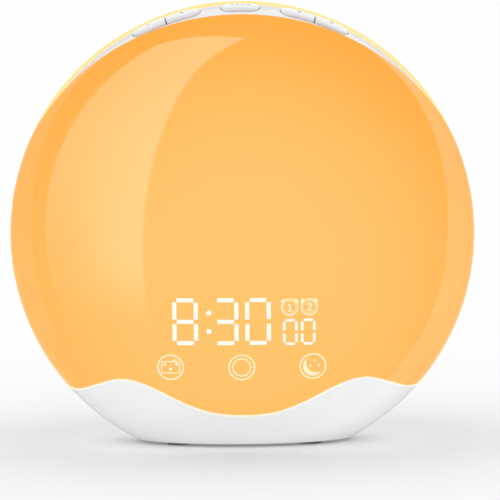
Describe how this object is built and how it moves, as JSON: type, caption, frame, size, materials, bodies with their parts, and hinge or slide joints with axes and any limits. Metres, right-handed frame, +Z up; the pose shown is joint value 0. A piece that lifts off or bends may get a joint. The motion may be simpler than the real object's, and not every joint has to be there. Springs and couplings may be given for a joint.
{
  "type": "sunrise alarm clock",
  "caption": "Flattened ball that glows like a sunrise on a wave-edged base, with a lit digital display, touch icons in front, a curved row of buttons on top and a speaker behind.",
  "frame": {"origin": "on the surface it stands on, under the middle of the body", "axes": "+Z up; the display faces -Y; +X is to the right of someone who reads it"},
  "size_m": [0.1844, 0.098, 0.175],
  "materials": {
    "glowing_diffuser": "glossy translucent, lit warm orange from inside",
    "white_shell": "semi-gloss white",
    "button_grey": "satin light grey",
    "white_inner": "moulded, matt",
    "grey_rubber": "matt",
    "zinc_steel": "zinc plated",
    "black_plastic": "matt",
    "amber_flex": "smooth film",
    "white_board": "white solder mask",
    "green_board": "green solder mask",
    "warm_led": "domed resin",
    "white_led": "domed resin",
    "clear_lens": "clear moulded light guide",
    "touch_foam": "conductive foam",
    "grey_ribbon": "flat cable",
    "cream_plastic": "moulded nylon",
    "spring_metal": "nickel plated",
    "cell_steel": "satin",
    "magnet": "dark ferrite",
    "black_paper": "pressed paper",
    "foam_black": "closed foam"
  },
  "bodies": {
    "clock_body": {"front_diffuser": "glowing_diffuser", "rear_diffuser": "glowing_diffuser", "base_shell": "white_shell", "rubber_feet": "grey_rubber", "base_screws": "zinc_steel", "button_panel": "white_shell", "button_bracket": "white_inner", "button_flex_board": "amber_flex", "button_tail": "amber_flex", "tact_switches": "black_plastic", "bracket_screws": "zinc_steel", "chassis": "white_inner", "led_board": "white_board", "leds": "warm_led", "led_board_screws": "zinc_steel", "display_board": "green_board", "display_screws": "zinc_steel", "light_box": "white_inner", "segment_lenses": "clear_lens", "display_leds": "white_led", "touch_pads": "touch_foam", "display_ribbon": "grey_ribbon", "headers": "cream_plastic", "rear_panel": "white_shell", "rear_panel_screws": "zinc_steel", "battery_contacts": "spring_metal", "coin_cell": "cell_steel", "speaker_frame": "black_plastic", "speaker_magnet": "magnet", "speaker_cone": "black_paper", "speaker_gasket": "foam_black", "speaker_screws": "zinc_steel", "speaker_leads": "grey_ribbon", "main_board": "green_board", "main_board_screws": "zinc_steel", "board_chips": "black_plastic", "dc_jack_body": "black_plastic", "dc_jack_pin": "spring_metal"},
    "battery_door": {"battery_door": "white_shell", "battery_door_screw": "zinc_steel"},
    "button_left_outer": {"button_left_outer": "button_grey", "plunger_left_outer": "black_plastic"},
    "button_left_inner": {"button_left_inner": "button_grey", "plunger_left_inner": "black_plastic"},
    "button_middle": {"button_middle": "button_grey", "plunger_middle": "black_plastic"},
    "button_right_inner": {"button_right_inner": "button_grey", "plunger_right_inner": "black_plastic"},
    "button_right_outer": {"button_right_outer": "button_grey", "plunger_right_outer": "black_plastic"}
  },
  "joints": [
    {"name": "press_left_outer", "type": "slide", "parent": "clock_body", "child": "button_left_outer", "axis": [0.3272, 0, -0.9449], "range_m": [0, 0.0008], "stiffness_N_per_m": 600},
    {"name": "press_left_inner", "type": "slide", "parent": "clock_body", "child": "button_left_inner", "axis": [0.3272, 0, -0.9449], "range_m": [0, 0.0008], "stiffness_N_per_m": 600},
    {"name": "press_middle", "type": "slide", "parent": "clock_body", "child": "button_middle", "axis": [0, 0, -1], "range_m": [0, 0.0008], "stiffness_N_per_m": 600},
    {"name": "press_right_inner", "type": "slide", "parent": "clock_body", "child": "button_right_inner", "axis": [-0.3272, 0, -0.9449], "range_m": [0, 0.0008], "stiffness_N_per_m": 600},
    {"name": "press_right_outer", "type": "slide", "parent": "clock_body", "child": "button_right_outer", "axis": [-0.3272, 0, -0.9449], "range_m": [0, 0.0008], "stiffness_N_per_m": 600},
    {"name": "battery_door_off", "type": "slide", "parent": "clock_body", "child": "battery_door", "axis": [0, 1, 0], "range_m": [0, 0.03]}
  ]
}
